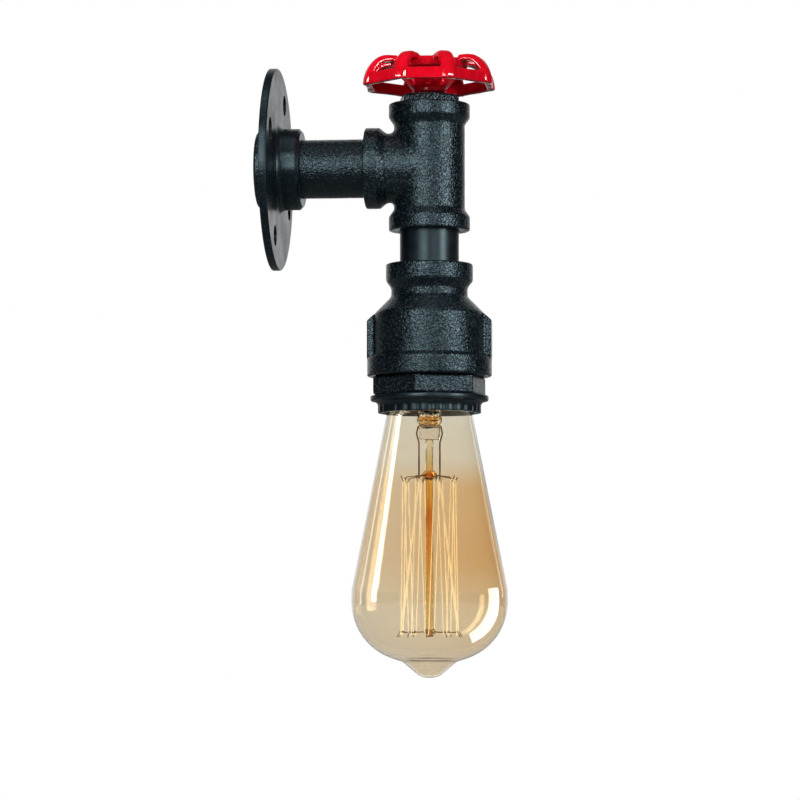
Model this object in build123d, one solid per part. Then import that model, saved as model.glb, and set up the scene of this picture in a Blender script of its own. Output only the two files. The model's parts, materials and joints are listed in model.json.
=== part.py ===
from build123d import *
import math
import os

# Industrial pipe wall light, in millimetres.
# Origin: centre of the wall flange's back face. +X leads away from the wall
# along the pipe arm, +Z is up, and the lamp hangs from the tee at arm_reach.

# ------------------------------------------------------------ pipe and threads
pipe_od = 26.7
pipe_bore = 20.9
pipe_end_chamfer = 0.8
thread_gap = 0.05            # radial gap of a screwed or pushed-in end in its socket
socket_depth = 13.0          # length of pipe inside a fitting
socket_spare = 1.0           # room past the pipe's end
running_gap = 0.06           # radial gap of a shaft that turns
axial_play = 0.1             # end play of what turns
seat_gap = 0.03              # gap between inner pieces that are fused or clamped

arm_reach = 72.0             # wall to the lamp's centre line
drop_length = 15.1           # pipe that shows between tee and reducer

# ------------------------------------------------------------ wall flange
flange_radius = 46.0
flange_thickness = 3.6
flange_edge_round = 0.9
hub_radius = 18.5
hub_length = 14.1            # wall to the hub's end
hub_chamfer = 1.4
hub_foot_round = 3.0
screw_circle = 70.0
screw_count = 4
screw_hole_radius = 4.5
screw_hole_round = 0.6
screw_hole_turn = 65.0
nut_radius = 17.4
nut_length = 6.4             # how far the nut stands behind the wall face
nut_recess = 1.5
nut_edge_round = 1.3

# ------------------------------------------------------------ tee
tee_reach = 28.9             # centre to each end
tee_bead_radius = 18.4
tee_bead_height = 6.3
tee_bead_taper = 3.2
tee_bead_round = 1.1
tee_end_round = 0.6
tee_run_radius = 16.1
tee_branch_radius = 15.8
tee_crotch_round = 2.0
tee_cavity_radius = 12.2

# ------------------------------------------------------------ top plug and handwheel
plug_flats = 25.1
plug_head_height = 4.0
plug_chamfer = 0.7
plug_turn = 43.4
spindle_radius = 4.0
spindle_square = 5.6
stub_radius = 2.5
wheel_washer_thickness = 0.8
wheel_washer_radius = 7.0
clip_thickness = 0.8
clip_radius = 6.5
clip_groove_depth = 0.8
clip_slot = 4.2
spindle_tail = 2.4           # spindle below the clip
wheel_nut_flats = 8.0
wheel_nut_height = 3.5
stub_spare = 0.8             # stub above the nut

wheel_rim_lift = 7.65        # tee's top end to the rim's lower edge
wheel_turn_at_rest = 23.4
wheel_corners = 8
wheel_corner_radius = 31.1
wheel_corner_round = 4.0
wheel_rim_height = 5.2
wheel_rim_wall = 3.1
wheel_rim_draft = 4.0
wheel_crest_radius = 19.8    # where the ribs are highest
wheel_crest_height = 14.0    # rim's lower edge to the ribs' crests
wheel_rib_width = 6.8
wheel_rib_thickness = 3.2
wheel_rib_round = 2.2
wheel_ring_radius = 17.3
wheel_ring_wall = 3.0
wheel_ring_top = 12.3
wheel_ring_height = 4.5
wheel_ring_round = 1.2
wheel_hub_radius = 7.5
wheel_hub_height = 8.7
wheel_spoke_thickness = 2.6
wheel_spoke_root = 1.0       # how far a spoke runs into the hub
wheel_spoke_inset = 0.6      # ring's outer face to the spoke's lower end
wheel_spoke_lift = 0.4       # ring's lower edge to the same end
wheel_slot_inner = 8.8
wheel_slot_angle = 15.0

# ------------------------------------------------------------ reducer
reducer_length = 51.1
reducer_small_bead_radius = 19.7
reducer_small_bead_height = 7.7
reducer_neck_radius = 17.3
reducer_neck_taper = 3.2
reducer_neck_height = 4.0
reducer_belly_radius = 24.9
reducer_shoulder_height = 7.7
reducer_large_bead_radius = 28.2
reducer_large_bead_height = 9.5
reducer_bead_step = 0.7
reducer_bead_round = 1.1
reducer_end_round = 0.6
reducer_shoulder_round = 3.0
reducer_rib_width = 7.0
reducer_rib_slope = 3.0
reducer_rib_root = 1.0       # how far a rib runs into the belly
reducer_cavity_radius = 20.9
reducer_cavity_slope = 8.1   # height of the cavity's cone

# ------------------------------------------------------------ hex adapter and shade ring
adapter_flats = 46.0
adapter_height = 8.7
adapter_turn = 22.0
adapter_chamfer = 0.7
adapter_thread_radius = 21.1
adapter_thread_length = 12.0
ring_lip_radius = 26.7
ring_lip_thickness = 2.3
ring_lip_round = 0.9
ring_skirt_radius = 23.3
ring_height = 7.8
ring_flare_round = 2.4
ring_thread_length = 4.1
ring_recess_radius = 20.3
ring_groove_count = 26
ring_groove_width = 1.2
ring_groove_depth = 0.7
ring_groove_length = 3.2

# ------------------------------------------------------------ lamp holder
shell_radius = 18.8
shell_bore_radius = 17.0
shell_drop = 3.3             # shell's mouth below the adapter
shell_mouth_chamfer = 0.8
shell_flange_radius = 20.0
shell_flange_thickness = 2.0
core_height = 10.4           # ceramic above the shell's flange
core_plate_thickness = 3.5
core_skirt_gap = 0.3
core_edge_round = 0.5
core_bore_radius = 15.1
core_skirt_length = 17.0     # ceramic skirt below the flange's top
core_screw_circle = 36.4
core_screw_radius = 1.1
core_screw_head_radius = 1.8
core_screw_head_height = 1.8
screw_shell_crest = 13.45    # smallest inner radius of the screw shell
screw_shell_wave = 0.95
screw_shell_wall = 0.4
screw_shell_length = 24.5
thread_pitch = 3.63
thread_turns = 4
contact_width = 6.0
contact_thickness = 0.5
contact_hole_radius = 9.4
contact_root = 5.6           # centre line to the rivet of the centre contact
contact_gap = 0.3            # centre contact to the bulb's button
neutral_rivet_reach = 11.5
rivet_radius = 1.0
rivet_head_radius = 1.7
rivet_head_height = 0.5
terminal_width = 5.0
terminal_length = 7.0
terminal_height = 6.0
terminal_floor = 1.0         # brass below the end of the wire
terminal_screw_radius = 1.1
terminal_head_radius = 1.9
terminal_screw_head = 1.2
lug_thickness = 0.8
lug_radius = 2.6
lug_barrel_radius = 1.9
lug_barrel_length = 5.0
lug_stop = 1.0               # wire's end to the end of the barrel

# ------------------------------------------------------------ wiring
wire_radius = 1.2
wire_spacing = 5.0
wire_bend = 9.0
block_length = 14.0
block_inset = 1.0            # wall face to the block
block_flat = 6.0             # centre line to the block's flat sides
block_screw_radius = 1.6
block_screw_height = 1.5
block_wire_depth = 6.0
block_stations = (0.25, 0.75)    # places of the screws along the block

# ------------------------------------------------------------ bulb
cap_inset = 12.3             # shade ring's lower edge up to the cap's rim
cap_radius = 13.1
cap_wave = 0.95
cap_wall = 0.4
cap_band_height = 4.0
cap_band_bead = 0.5
cap_shoulder_height = 2.0
cap_top_radius = 9.4
insulator_height = 2.4
insulator_foot = 1.0
insulator_bore_radius = 3.3
button_radius = 4.8
button_height = 0.9

glass_wall = 0.9
glass_neck_radius = 12.6
glass_neck_in_cap = 2.6
glass_throat_radius = 13.4
glass_throat_drop = 3.2      # cap's rim to the throat
glass_shoulder_radius = 18.6
glass_shoulder_drop = 11.6
glass_cone_radius = 34.9
glass_cone_drop = 91.9       # cap's rim to the cone's end
glass_dome_radius = 35.95
glass_dome_height = 25.2     # cone's end to the dome's widest corner
glass_base_height = 7.7      # that corner to where the drawn tip starts
glass_tip_radius = 12.2
glass_tip_height = 7.0
glass_end_radius = 3.8
glass_throat_round = 3.0
glass_shoulder_round = 8.0
glass_cone_round = 11.3
glass_dome_round = 27.0
glass_tip_round = 1.5
glass_end_round = 7.0

stem_tube_radius = 5.5
stem_wall = 0.9
stem_flare_drop = 9.0
stem_flare_round = 3.0
stem_end_drop = 18.0
stem_end_round = 0.35
press_width = 9.4
press_thickness = 3.8
press_height = 7.4
press_round = 1.3
press_overlap = 1.0          # how far the press runs up into the stem
exhaust_radius = 2.3
exhaust_wall = 0.7
exhaust_above_rim = 11.0
rod_radius = 1.35
bead_radius = 2.4
bead_height = 4.1
bead_round = 0.8
top_bead_rise = 5.5          # top hooks' bend up to the top bead's upper end
bottom_bead_rise = 0.9
bottom_bead_height = 2.9
lead_radius = 0.35
lead_offset = 4.75
lead_bulge = 1.2
support_wire_radius = 0.28
cage_radius = 13.4
top_hook_drop = 43.8         # cap's rim to the bend of the top hooks
bottom_hook_drop = 110.3
hook_depth = 2.9
hook_reach = 1.5
hook_rise = 2.3              # height of a top hook's inner side
top_hooks_per_half = 4
filament_radius = 0.3
filament_hook_half_width = 0.8
filament_bend = 0.5

# ------------------------------------------------------------ places that follow
socket_radius = pipe_od / 2 + thread_gap
tee_top = tee_reach
reducer_top = -tee_reach - drop_length
reducer_bottom = reducer_top - reducer_length
adapter_bottom = reducer_bottom - adapter_height
ring_bottom = adapter_bottom - ring_height
cap_rim = ring_bottom + cap_inset
lamp_axis = Pos(arm_reach, 0, 0)


# ------------------------------------------------------------ shared helpers
def corner_face(corners):
    """A flat face from corners, each (across, along) with a rounding."""
    points = [corner[:2] for corner in corners]
    roundings = [corner[2] for corner in corners]
    return make_face(FilletPolyline(*points, radius=roundings, close=True))


def turned_upright(corners):
    """A solid turned about the vertical axis from corners in radius and height."""
    return revolve(Plane.XZ * corner_face(corners), Axis.Z)


def turned_along_arm(corners):
    """A solid turned about the arm's axis from corners in distance and radius."""
    return revolve(corner_face(corners), Axis.X)


def upright_tube(outer, inner, low, high):
    """A plain tube about the vertical axis."""
    return turned_upright([(inner, low, 0), (outer, low, 0), (outer, high, 0), (inner, high, 0)])


def upright_rod(radius, low, high):
    """A plain rod about the vertical axis."""
    return Pos(0, 0, low) * extrude(Circle(radius), high - low)


def rod_along_arm(radius, start, length, side=0, height=0):
    """A plain rod that runs in the arm's direction from its start."""
    return Pos(start, side, height) * (Plane.YZ * extrude(Circle(radius), length))


def hexagon(flats):
    """A hexagon by its width across flats, with one corner on the X axis."""
    return RegularPolygon(flats / 2, 6, major_radius=False, rotation=0)


def wire_along(points, radii, wire):
    """A round wire along straight runs joined by tangent arcs."""
    path = FilletPolyline(*points, radius=radii)
    section = Plane(origin=path @ 0, z_dir=path % 0) * Circle(wire)
    return sweep(section, path=path)


def threaded_outline(crest, wave, start):
    """Arcs of a rolled thread, upwards from start, two for each turn."""
    plain = crest - wave / 2
    quarter = thread_pitch / 4
    arcs = []
    for turn in range(thread_turns):
        low = start + thread_pitch * turn
        middle = low + thread_pitch / 2
        high = low + thread_pitch
        arcs.append(ThreePointArc((plain, low), (crest, low + quarter), (plain, middle)))
        arcs.append(ThreePointArc((plain, middle), (crest - wave, high - quarter), (plain, high)))
    return arcs


# ------------------------------------------------------------ wall side
def make_wall_flange():
    bore = socket_radius
    recess = nut_radius + axial_play
    body = turned_along_arm([
        (nut_recess, bore, 0),
        (nut_recess, recess, 0),
        (0, recess, 0),
        (0, flange_radius, flange_edge_round / 2),
        (flange_thickness, flange_radius, flange_edge_round),
        (flange_thickness, hub_radius, hub_foot_round),
        (hub_length - hub_chamfer, hub_radius, 0),
        (hub_length, hub_radius - hub_chamfer, 0),
        (hub_length, bore, 0),
    ])
    reach = screw_circle / 2
    for index in range(screw_count):
        angle = math.radians(screw_hole_turn + 360 * index / screw_count)
        body -= rod_along_arm(
            screw_hole_radius, 0, flange_thickness, reach * math.cos(angle), reach * math.sin(angle)
        )
    rims = body.edges().filter_by(GeomType.CIRCLE).filter_by(
        lambda edge: abs(edge.radius - screw_hole_radius) < 0.01
    ).group_by(Axis.X)[-1]
    return fillet(rims, screw_hole_round)


def make_back_nut():
    return turned_along_arm([
        (-nut_length, socket_radius, 0),
        (-nut_length, nut_radius, nut_edge_round),
        (nut_recess, nut_radius, 0),
        (nut_recess, socket_radius, 0),
    ])


def make_arm_nipple():
    inner_end = arm_reach - tee_reach + socket_depth
    radius = pipe_od / 2
    return turned_along_arm([
        (-nut_length, pipe_bore / 2, 0),
        (-nut_length, radius - pipe_end_chamfer, 0),
        (pipe_end_chamfer - nut_length, radius, 0),
        (inner_end - pipe_end_chamfer, radius, 0),
        (inner_end, radius - pipe_end_chamfer, 0),
        (inner_end, pipe_bore / 2, 0),
    ])


# ------------------------------------------------------------ tee
def make_tee():
    bead_foot = tee_reach - tee_bead_height
    taper_end = bead_foot - tee_bead_taper
    run = turned_upright([
        (0, -tee_reach, 0),
        (tee_bead_radius, -tee_reach, tee_end_round),
        (tee_bead_radius, -bead_foot, tee_bead_round),
        (tee_run_radius, -taper_end, 2 * tee_bead_round),
        (tee_run_radius, taper_end, 2 * tee_bead_round),
        (tee_bead_radius, bead_foot, tee_bead_round),
        (tee_bead_radius, tee_reach, tee_end_round),
        (0, tee_reach, 0),
    ])
    branch = turned_along_arm([
        (-tee_reach, 0, 0),
        (-tee_reach, tee_bead_radius, tee_end_round),
        (-bead_foot, tee_bead_radius, tee_bead_round),
        (-taper_end, tee_branch_radius, 2 * tee_bead_round),
        (0, tee_branch_radius, 0),
        (0, 0, 0),
    ])
    body = run + branch
    crotch = body.edges().filter_by(
        lambda edge: edge.geom_type not in (GeomType.CIRCLE, GeomType.LINE)
    )
    body = fillet(crotch, tee_crotch_round)
    depth = socket_depth + socket_spare
    for end in (tee_reach - depth, -tee_reach):
        body -= upright_rod(socket_radius, end, end + depth)
    body -= rod_along_arm(socket_radius, -tee_reach, depth)
    body -= upright_rod(tee_cavity_radius, -tee_reach, tee_reach)
    body -= rod_along_arm(tee_cavity_radius, -tee_reach, tee_reach)
    return lamp_axis * body


# ------------------------------------------------------------ top plug and wheel spindle
plug_bottom = tee_top - socket_depth
plug_head_top = tee_top + plug_head_height
hub_bottom = plug_head_top + axial_play + wheel_washer_thickness
hub_top = hub_bottom + wheel_hub_height
rim_bottom = tee_top + wheel_rim_lift
clip_top = plug_bottom - axial_play


def make_top_plug():
    body = upright_rod(pipe_od / 2, plug_bottom, tee_top)
    head = Pos(0, 0, tee_top) * Rot(0, 0, plug_turn) * extrude(hexagon(plug_flats), plug_head_height)
    head = chamfer(head.edges().group_by(Axis.Z)[-1], plug_chamfer)
    body += head
    body -= upright_rod(spindle_radius + running_gap, plug_bottom, plug_head_top)
    return lamp_axis * body


def make_spindle():
    bottom = clip_top - clip_thickness - spindle_tail
    body = upright_rod(spindle_radius, bottom, hub_bottom)
    body += Pos(0, 0, hub_bottom) * extrude(Rectangle(spindle_square, spindle_square), wheel_hub_height)
    body += upright_rod(stub_radius, hub_top, hub_top + wheel_nut_height + stub_spare)
    groove = upright_tube(
        2 * spindle_radius, spindle_radius - clip_groove_depth,
        clip_top - clip_thickness - seat_gap, clip_top + seat_gap,
    )
    return lamp_axis * Rot(0, 0, wheel_turn_at_rest) * (body - groove)


def make_spindle_clip():
    inner = spindle_radius - clip_groove_depth + seat_gap
    ring = upright_tube(clip_radius, inner, clip_top - clip_thickness, clip_top)
    middle = clip_top - clip_thickness / 2
    ring -= Pos(clip_radius, 0, middle) * Box(2 * clip_radius, clip_slot, 2 * clip_thickness)
    return lamp_axis * Rot(0, 0, wheel_turn_at_rest) * ring


def make_wheel_washer():
    low = plug_head_top + axial_play
    return lamp_axis * upright_tube(
        wheel_washer_radius, spindle_radius + running_gap, low, low + wheel_washer_thickness
    )


def make_wheel_nut():
    body = Pos(0, 0, hub_top) * extrude(hexagon(wheel_nut_flats), wheel_nut_height)
    body -= upright_rod(stub_radius + seat_gap, hub_top, hub_top + wheel_nut_height)
    return lamp_axis * Rot(0, 0, wheel_turn_at_rest) * body


def make_wheel_rib():
    """One rib: up from the rim's corner, over the crest and in to the ring."""
    crest = wheel_crest_radius
    rise = wheel_crest_height
    reach = wheel_corner_radius - crest
    inner_rise = rise - wheel_rib_thickness
    inner_reach = reach - wheel_rib_thickness
    ring_inner = wheel_ring_radius - wheel_ring_wall
    rib_end = (ring_inner + wheel_ring_radius) / 2
    outer = EllipticalCenterArc((crest, 0), reach, rise, arc_size=90)
    inner = EllipticalCenterArc((crest, 0), inner_reach, inner_rise, arc_size=90)
    back = Polyline((crest, rise), (rib_end, rise), (rib_end, inner_rise), (crest, inner_rise))
    foot = Line((crest + inner_reach, 0), (crest + reach, 0))
    outline = make_face([outer, back, inner, foot])
    rib = extrude(Plane.XZ * outline, wheel_rib_width / 2, both=True)
    # round only the long edges that show on the outside and over the crest
    middle_of_wall = wheel_rib_thickness / 2

    def is_outer(edge):
        centre = edge.center(CenterOf.BOUNDING_BOX)
        flat = abs(abs(centre.Y) - wheel_rib_width / 2) < 0.01
        farthest = edge.bounding_box().max.X
        on_curve = edge.geom_type == GeomType.ELLIPSE and farthest > crest + reach - middle_of_wall
        on_top = edge.geom_type == GeomType.LINE and centre.Z > rise - 0.01
        return flat and (on_curve or on_top)

    return fillet(rib.edges().filter_by(is_outer), wheel_rib_round)


def make_handwheel():
    corner = wheel_corner_radius
    inner_corner = corner - wheel_rim_wall / math.cos(math.pi / wheel_corners)
    outer_octagon = fillet(RegularPolygon(corner, wheel_corners).vertices(), wheel_corner_round)
    inner_octagon = fillet(RegularPolygon(inner_corner, wheel_corners).vertices(), wheel_corner_round / 2)
    rim = extrude(outer_octagon, wheel_rim_height, taper=wheel_rim_draft)
    rim -= extrude(inner_octagon, wheel_rim_height, taper=wheel_rim_draft)
    ring_low = wheel_ring_top - wheel_ring_height
    ring_inner = wheel_ring_radius - wheel_ring_wall
    ring = turned_upright([
        (ring_inner, ring_low, 0),
        (wheel_ring_radius, ring_low, wheel_ring_round),
        (wheel_ring_radius, wheel_ring_top, wheel_ring_round),
        (ring_inner, wheel_ring_top, wheel_ring_round),
    ])
    hub_low = hub_bottom - rim_bottom
    hub_high = hub_low + wheel_hub_height
    spoke_height = wheel_spoke_thickness * math.sqrt(2)
    spoke_start = wheel_hub_radius - wheel_spoke_root
    spoke_low = hub_low + wheel_spoke_root
    spokes = turned_upright([
        (spoke_start, spoke_low, 0),
        (wheel_ring_radius - wheel_spoke_inset, ring_low + wheel_spoke_lift, 0),
        (ring_inner, ring_low + spoke_height, 0),
        (spoke_start, spoke_low + spoke_height, 0),
    ])
    half = math.radians(wheel_slot_angle / 2)
    slot_face = make_face(Polyline(
        (wheel_slot_inner * math.cos(half), -wheel_slot_inner * math.sin(half)),
        (ring_inner * math.cos(half), -ring_inner * math.sin(half)),
        (ring_inner * math.cos(half), ring_inner * math.sin(half)),
        (wheel_slot_inner * math.cos(half), wheel_slot_inner * math.sin(half)),
        close=True,
    ))
    slot = Pos(0, 0, hub_low) * extrude(slot_face, wheel_crest_height)
    pitch = 360 / wheel_corners
    for index in range(wheel_corners):
        spokes -= Rot(0, 0, pitch * (index + 0.5)) * slot
    hub = upright_rod(wheel_hub_radius, hub_low, hub_high)
    hub = fillet(hub.edges().group_by(Axis.Z)[0], wheel_ring_round)
    body = rim + ring + spokes + hub
    rib = make_wheel_rib()
    for index in range(wheel_corners):
        body += Rot(0, 0, pitch * index) * rib
    side = spindle_square + 2 * thread_gap
    body -= Pos(0, 0, hub_low) * extrude(Rectangle(side, side), wheel_hub_height)
    return lamp_axis * Pos(0, 0, rim_bottom) * Rot(0, 0, wheel_turn_at_rest) * body


# ------------------------------------------------------------ drop nipple and reducer
def make_drop_nipple():
    high = socket_depth - tee_reach
    low = reducer_top - socket_depth
    radius = pipe_od / 2
    return lamp_axis * turned_upright([
        (pipe_bore / 2, low, 0),
        (radius - pipe_end_chamfer, low, 0),
        (radius, low + pipe_end_chamfer, 0),
        (radius, high - pipe_end_chamfer, 0),
        (radius - pipe_end_chamfer, high, 0),
        (pipe_bore / 2, high, 0),
    ])


small_bead_foot = reducer_top - reducer_small_bead_height
neck_top = small_bead_foot - reducer_neck_taper
neck_bottom = neck_top - reducer_neck_height
belly_top = neck_bottom - reducer_shoulder_height
large_bead_top = reducer_bottom + reducer_large_bead_height
cavity_top = reducer_top - socket_depth - socket_spare
cavity_shoulder = cavity_top - socket_spare - reducer_cavity_slope
adapter_thread_top = reducer_bottom + adapter_thread_length


def make_reducer():
    socket_top = adapter_thread_top + shell_flange_thickness
    body = turned_upright([
        (socket_radius, reducer_top, 0),
        (reducer_small_bead_radius, reducer_top, reducer_end_round),
        (reducer_small_bead_radius, small_bead_foot, reducer_bead_round),
        (reducer_neck_radius, neck_top, reducer_shoulder_round),
        (reducer_neck_radius, neck_bottom, reducer_shoulder_round / 2),
        (reducer_belly_radius, belly_top, reducer_shoulder_round),
        (reducer_belly_radius, large_bead_top, reducer_bead_step / 2),
        (reducer_large_bead_radius, large_bead_top - reducer_bead_step, reducer_bead_round),
        (reducer_large_bead_radius, reducer_bottom, reducer_end_round),
        (adapter_thread_radius + thread_gap, reducer_bottom, 0),
        (adapter_thread_radius + thread_gap, socket_top, 0),
        (reducer_cavity_radius, socket_top, 0),
        (reducer_cavity_radius, cavity_shoulder, 0),
        (pipe_bore / 2, cavity_top - socket_spare, 0),
        (pipe_bore / 2, cavity_top, 0),
        (socket_radius, cavity_top, 0),
    ])
    root = reducer_belly_radius - reducer_rib_root
    foot = large_bead_top - 2 * reducer_bead_step
    rib_face = make_face(Polyline(
        (root, belly_top),
        (reducer_belly_radius, belly_top),
        (reducer_large_bead_radius, belly_top - reducer_rib_slope),
        (reducer_large_bead_radius, foot),
        (root, foot),
        close=True,
    ))
    rib = extrude(Plane.XZ * rib_face, reducer_rib_width / 2, both=True)
    for turn in (0, 180):
        body += Rot(0, 0, turn) * rib
    return lamp_axis * body


# ------------------------------------------------------------ hex adapter and shade ring
def make_hex_adapter():
    hexagonal = Pos(0, 0, adapter_bottom) * Rot(0, 0, adapter_turn) * extrude(
        hexagon(adapter_flats), adapter_height
    )
    edges = hexagonal.edges()
    hexagonal = chamfer(edges.group_by(Axis.Z)[-1] + edges.group_by(Axis.Z)[0], adapter_chamfer)
    body = hexagonal + upright_rod(adapter_thread_radius, reducer_bottom, adapter_thread_top)
    body -= upright_rod(shell_radius + thread_gap, adapter_bottom, adapter_thread_top)
    return lamp_axis * body


def make_shade_ring():
    lip_bottom = adapter_bottom - ring_lip_thickness
    recess_top = adapter_bottom - ring_thread_length
    bore = shell_radius + thread_gap
    body = turned_upright([
        (bore, adapter_bottom, 0),
        (ring_lip_radius, adapter_bottom, ring_lip_round),
        (ring_lip_radius, lip_bottom, ring_lip_round),
        (ring_skirt_radius, lip_bottom, ring_flare_round),
        (ring_skirt_radius, ring_bottom, 0),
        (ring_recess_radius, ring_bottom, 0),
        (ring_recess_radius, recess_top, 0),
        (bore, recess_top, 0),
    ])
    groove = Pos(ring_skirt_radius, 0, ring_bottom + ring_groove_length / 2) * Box(
        2 * ring_groove_depth, ring_groove_width, ring_groove_length
    )
    for index in range(ring_groove_count):
        body -= Rot(0, 0, 360 * index / ring_groove_count) * groove
    return lamp_axis * body


# ------------------------------------------------------------ lamp holder
flange_top = adapter_thread_top + shell_flange_thickness
core_top = flange_top + core_height
plate_bottom = core_top - core_plate_thickness
button_top = plate_bottom - contact_thickness - rivet_head_height - contact_gap - seat_gap


def core_screw_places(indexes):
    """Turned places of the holder's long screws, three round the core."""
    reach = core_screw_circle / 2
    return [Rot(0, 0, 120 * index) * Pos(reach, 0, 0) for index in indexes]


def make_holder_shell():
    mouth = adapter_bottom - shell_drop
    body = turned_upright([
        (shell_bore_radius + shell_mouth_chamfer, mouth, 0),
        (shell_radius, mouth, 0),
        (shell_radius, adapter_thread_top, 0),
        (shell_flange_radius, adapter_thread_top, 0),
        (shell_flange_radius, flange_top, 0),
        (shell_bore_radius, flange_top, 0),
        (shell_bore_radius, mouth + 2 * shell_mouth_chamfer, 0),
    ])
    for place in core_screw_places(range(3)):
        body -= place * upright_rod(core_screw_radius + seat_gap, adapter_thread_top, flange_top)
    return lamp_axis * body


def make_holder_core():
    skirt_radius = shell_bore_radius - core_skirt_gap
    skirt_bottom = flange_top - core_skirt_length
    body = turned_upright([
        (core_bore_radius, skirt_bottom, 0),
        (skirt_radius, skirt_bottom, core_edge_round),
        (skirt_radius, flange_top, 0),
        (shell_flange_radius, flange_top, 0),
        (shell_flange_radius, core_top, 2 * core_edge_round),
        (0, core_top, 0),
        (0, plate_bottom, 0),
        (core_bore_radius, plate_bottom, 0),
    ])
    for place in core_screw_places(range(3)):
        body -= place * upright_rod(core_screw_radius + seat_gap, flange_top, core_top)
    for reach in (-contact_root, neutral_rivet_reach):
        body -= Pos(0, reach, 0) * upright_rod(rivet_radius + seat_gap, plate_bottom, core_top)
    return lamp_axis * body


def make_screw_shell():
    """The holder's rolled brass shell, hung under the ceramic plate."""
    crest = screw_shell_crest
    outer = crest + screw_shell_wave + screw_shell_wall
    mouth = plate_bottom - screw_shell_length
    wave_start = mouth + thread_pitch
    wave_end = wave_start + thread_turns * thread_pitch
    plain = crest + screw_shell_wave / 2
    top = plate_bottom
    outline = [
        Polyline((outer, mouth), (plain, mouth), (plain, wave_start)),
        *threaded_outline(crest + screw_shell_wave, screw_shell_wave, wave_start),
        Polyline(
            (plain, wave_end),
            (plain, top - screw_shell_wall),
            (contact_hole_radius, top - screw_shell_wall),
            (contact_hole_radius, top),
            (outer, top),
            (outer, mouth),
        ),
    ]
    body = revolve(Plane.XZ * make_face(outline), Axis.Z)
    hole = Pos(0, neutral_rivet_reach, 0) * upright_rod(rivet_radius + seat_gap, top - screw_shell_wall, top)
    return lamp_axis * (body - hole)


def make_centre_contact():
    """A flat spring strip from its rivet to just over the bulb's button."""
    near = -contact_root - contact_width / 2
    far = contact_width / 2
    drop = rivet_head_height
    bend = -contact_root + contact_width / 2
    flat = far - contact_width / 2
    low = plate_bottom - contact_thickness
    strip = make_face(Polyline(
        (near, plate_bottom),
        (bend, plate_bottom),
        (flat, plate_bottom - drop),
        (far, plate_bottom - drop),
        (far, low - drop),
        (flat, low - drop),
        (bend, low),
        (near, low),
        close=True,
    ))
    body = extrude(Plane.YZ * strip, contact_width / 2, both=True)
    body -= Pos(0, -contact_root, 0) * upright_rod(rivet_radius + seat_gap, low, plate_bottom)
    return lamp_axis * body


def rivet(reach, bottom):
    """One rivet through the ceramic plate, headed below the brass."""
    shank = upright_rod(rivet_radius, bottom - rivet_head_height, core_top)
    head = upright_rod(rivet_head_radius, bottom - rivet_head_height, bottom)
    return Pos(0, reach, 0) * (shank + head)


def make_contact_rivets():
    live = rivet(-contact_root, plate_bottom - contact_thickness)
    neutral = rivet(neutral_rivet_reach, plate_bottom - screw_shell_wall)
    return lamp_axis * Compound(children=[live, neutral])


def terminal(reach):
    """A brass block on the ceramic, with a wire hole from above and a clamp screw."""
    body = Pos(0, reach, core_top + terminal_height / 2) * Box(
        terminal_length, terminal_width, terminal_height
    )
    body -= Pos(0, reach, 0) * upright_rod(
        wire_radius + seat_gap, core_top + terminal_floor, core_top + terminal_height
    )
    return body - terminal_screw_run(reach, terminal_screw_radius + seat_gap, 0)


def terminal_screw_run(reach, radius, start):
    """The clamp screw's run, from start to the block's end."""
    middle = core_top + terminal_height / 2
    return rod_along_arm(radius, start, terminal_length / 2 - start, reach, middle)


live_reach = -wire_spacing
neutral_reach = wire_spacing


def make_live_terminal():
    return lamp_axis * terminal(live_reach)


def make_neutral_terminal():
    """The neutral block, with a foot that reaches its rivet."""
    body = terminal(neutral_reach)
    foot_end = neutral_rivet_reach + rivet_head_radius
    foot_start = neutral_reach + terminal_width / 2
    foot = Pos(0, (foot_start + foot_end) / 2, core_top + contact_thickness) * Box(
        2 * rivet_head_radius, foot_end - foot_start, 2 * contact_thickness
    )
    return lamp_axis * (body + foot)


def make_terminal_screws():
    screws = []
    for reach in (live_reach, neutral_reach):
        shank = terminal_screw_run(reach, terminal_screw_radius, wire_radius + seat_gap)
        head = rod_along_arm(
            terminal_head_radius, terminal_length / 2, terminal_screw_head,
            reach, core_top + terminal_height / 2,
        )
        screws.append(lamp_axis * (shank + head))
    return Compound(children=screws)


def long_screw(seat):
    """A screw from its seat down through the ceramic into the shell's flange."""
    shank = upright_rod(core_screw_radius, adapter_thread_top, seat)
    head = upright_rod(core_screw_head_radius, seat, seat + core_screw_head_height)
    return shank + fillet(head.edges().group_by(Axis.Z)[-1], core_screw_head_height / 3)


def make_core_screws():
    places = core_screw_places((1, 2))
    return Compound(children=[lamp_axis * place * long_screw(core_top) for place in places])


def make_earth_screw():
    return lamp_axis * core_screw_places((0,))[0] * long_screw(core_top + lug_thickness)


def make_earth_lug():
    """A ring lug under the earth screw, its barrel towards the middle."""
    reach = core_screw_circle / 2
    ring = Pos(reach, 0, 0) * upright_rod(lug_radius, core_top, core_top + lug_thickness)
    ring &= upright_rod(reducer_cavity_radius - axial_play, core_top, core_top + lug_thickness)
    barrel_end = reach - lug_radius - lug_barrel_length
    neck_length = lug_radius + lug_barrel_length
    neck = Pos(reach - neck_length / 2, 0, core_top + lug_thickness / 2) * Box(
        neck_length, 2 * lug_barrel_radius, lug_thickness
    )
    barrel_height = core_top + lug_barrel_radius
    barrel = rod_along_arm(lug_barrel_radius, barrel_end, lug_barrel_length, 0, barrel_height)
    body = ring + neck + barrel
    body -= Pos(reach, 0, 0) * upright_rod(
        core_screw_radius + seat_gap, core_top, core_top + lug_thickness
    )
    body -= rod_along_arm(
        wire_radius + seat_gap, barrel_end, lug_barrel_length - lug_stop, 0, barrel_height
    )
    return lamp_axis * body


# ------------------------------------------------------------ wiring
block_end = block_inset + block_length


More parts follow.
